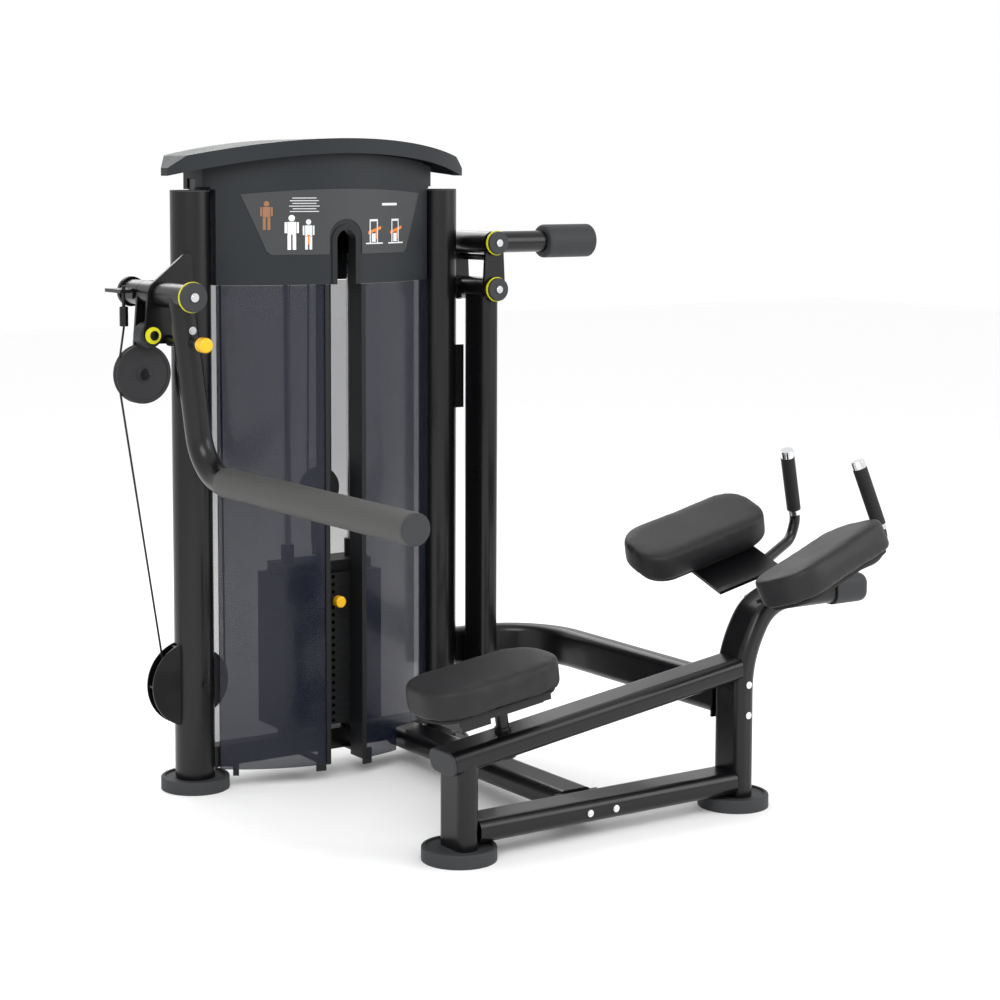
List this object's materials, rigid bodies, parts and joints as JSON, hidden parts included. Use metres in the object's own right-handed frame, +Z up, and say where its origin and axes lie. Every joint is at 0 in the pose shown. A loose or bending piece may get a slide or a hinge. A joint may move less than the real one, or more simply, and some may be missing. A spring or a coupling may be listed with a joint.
{
  "type": "glute kickback machine",
  "caption": "Selectorised glute kick-back gym machine: shrouded weight tower with cable and pulleys, swinging roller arm, kneeling bench, elbow pads and handles.",
  "frame": {"origin": "on the floor, under the centre of the machine's floor plan box", "axes": "+X along the tower's front from the roller arm towards the elbow pads, +Y from the bench to the tower, +Z up"},
  "size_m": [1.528, 1.2389, 1.519],
  "materials": {
    "frame_paint": "gloss black powder coat",
    "grey_plastic": "moulded grey end caps",
    "foot_rubber": "grey rubber floor pads",
    "buffer_rubber": "black rubber",
    "chrome": "polished chrome",
    "head_shell": "satin slate shell",
    "placard": "printed panel",
    "smoke_sheet": "blue-grey smoked sheet",
    "trim_plastic": "black trim",
    "plate_iron": "black plates",
    "pulley_plastic": "moulded pulley",
    "pin_steel": "turned steel",
    "knob_yellow": "yellow knob",
    "washer_yellow": "lime-yellow washer",
    "roller_foam": "grey roller cover",
    "pad_vinyl": "charcoal vinyl",
    "pad_board": "black-stained plywood",
    "grip_rubber": "black grip sleeve",
    "weight_coat": "grey coated weight",
    "cable_black": "black coated wire rope"
  },
  "bodies": {
    "frame": {"left_column": "frame_paint", "right_column": "frame_paint", "end_caps": "grey_plastic", "floor_pads": "foot_rubber", "tower_beams": "frame_paint", "guide_rods": "chrome", "stack_buffers": "buffer_rubber", "roof_cover": "head_shell", "head_cover": "head_shell", "front_trims": "trim_plastic", "placard": "placard", "shields": "smoke_sheet", "resting_plates": "plate_iron", "pulley_mounts": "frame_paint", "floor_pulley_guard": "frame_paint", "pivot_housing": "frame_paint", "right_post": "frame_paint", "shaft_washers": "washer_yellow", "rear_post": "frame_paint", "bench_beams": "frame_paint", "rear_tube": "frame_paint", "knee_cushion": "pad_vinyl", "pad_boards": "pad_board", "knee_bracket": "frame_paint", "elbow_cushion_far": "pad_vinyl", "elbow_cushion_near": "pad_vinyl", "elbow_bracket": "frame_paint", "handle_bars": "frame_paint", "handle_grips": "grip_rubber", "handle_ferrules": "chrome", "frame_bolts": "chrome", "lever_cable": "cable_black", "tower_cable": "cable_black", "lift_cable": "cable_black"},
    "cam": {"cam_plate": "frame_paint", "cam_hub": "frame_paint", "cam_pins": "chrome", "cam_caps": "grey_plastic", "cam_washers": "washer_yellow"},
    "swing_pulley": {"swing_pulley": "pulley_plastic"},
    "press_arm": {"press_arm": "frame_paint", "roller_spindle": "pin_steel"},
    "roller": {"roller_sleeve": "roller_foam", "roller_end_cap": "grey_plastic"},
    "pull_pin": {"pull_pin": "chrome", "pull_pin_knob": "knob_yellow"},
    "floor_pulley": {"floor_pulley": "pulley_plastic"},
    "top_pulley_left": {"top_pulley_left": "pulley_plastic"},
    "top_pulley_right": {"top_pulley_right": "pulley_plastic"},
    "weight_carriage": {"lifted_plates": "plate_iron", "carriage_head": "plate_iron", "selector_stem": "pin_steel", "lift_yoke": "frame_paint"},
    "lift_pulley": {"lift_pulley": "pulley_plastic"},
    "selector_pin": {"selector_pin": "pin_steel", "selector_knob": "knob_yellow"},
    "counter_lever": {"counter_lever": "frame_paint", "counterweight": "weight_coat"}
  },
  "joints": [
    {"name": "cam_swing", "type": "hinge", "parent": "frame", "child": "cam", "pos_m": [-0.67, 0.50746, 1.165], "axis": [0, 1, 0], "range_deg": [0, 50], "deforming": ["lever_cable"]},
    {"name": "swing_pulley_spin", "type": "hinge", "parent": "cam", "child": "swing_pulley", "pos_m": [-0.696, 0.50746, 0.982], "axis": [0, 1, 0], "continuous": true},
    {"name": "arm_adjust", "type": "hinge", "parent": "cam", "child": "press_arm", "pos_m": [-0.67, 0.37746, 1.165], "axis": [0, 1, 0], "range_deg": [-30, 0]},
    {"name": "roller_spin", "type": "hinge", "parent": "press_arm", "child": "roller", "pos_m": [-0.61748, -0.09254, 0.755], "axis": [0, 1, 0], "continuous": true},
    {"name": "pull_pin_slide", "type": "slide", "parent": "press_arm", "child": "pull_pin", "axis": [0, -1, 0], "range_m": [0, 0.012], "stiffness_N_per_m": 900, "springref_m": -0.004},
    {"name": "floor_pulley_spin", "type": "hinge", "parent": "frame", "child": "floor_pulley", "pos_m": [-0.566, 0.50746, 0.252], "axis": [0, 1, 0], "continuous": true},
    {"name": "top_pulley_left_spin", "type": "hinge", "parent": "frame", "child": "top_pulley_left", "pos_m": [-0.443, 0.50746, 1.33], "axis": [0, 1, 0], "continuous": true},
    {"name": "top_pulley_right_spin", "type": "hinge", "parent": "frame", "child": "top_pulley_right", "pos_m": [-0.3095, 0.50746, 1.33], "axis": [0, 1, 0], "continuous": true},
    {"name": "carriage_slide", "type": "slide", "parent": "frame", "child": "weight_carriage", "axis": [0, 0, 1], "range_m": [0, 0.1], "deforming": ["lift_cable"]},
    {"name": "lift_pulley_spin", "type": "hinge", "parent": "weight_carriage", "child": "lift_pulley", "pos_m": [-0.2305, 0.50746, 0.684], "axis": [0, 1, 0], "continuous": true},
    {"name": "selector_pin_slide", "type": "slide", "parent": "weight_carriage", "child": "selector_pin", "axis": [0, -1, 0], "range_m": [0, 0.09]},
    {"name": "counter_lever_hinge", "type": "hinge", "parent": "frame", "child": "counter_lever", "pos_m": [0.19, 0.43246, 1.269], "axis": [0, -1, 0], "range_deg": [0, 35]}
  ],
  "couplings": [
    {"joint": "carriage_slide", "follows": "cam_swing", "m_per_rad": 0.11}
  ]
}
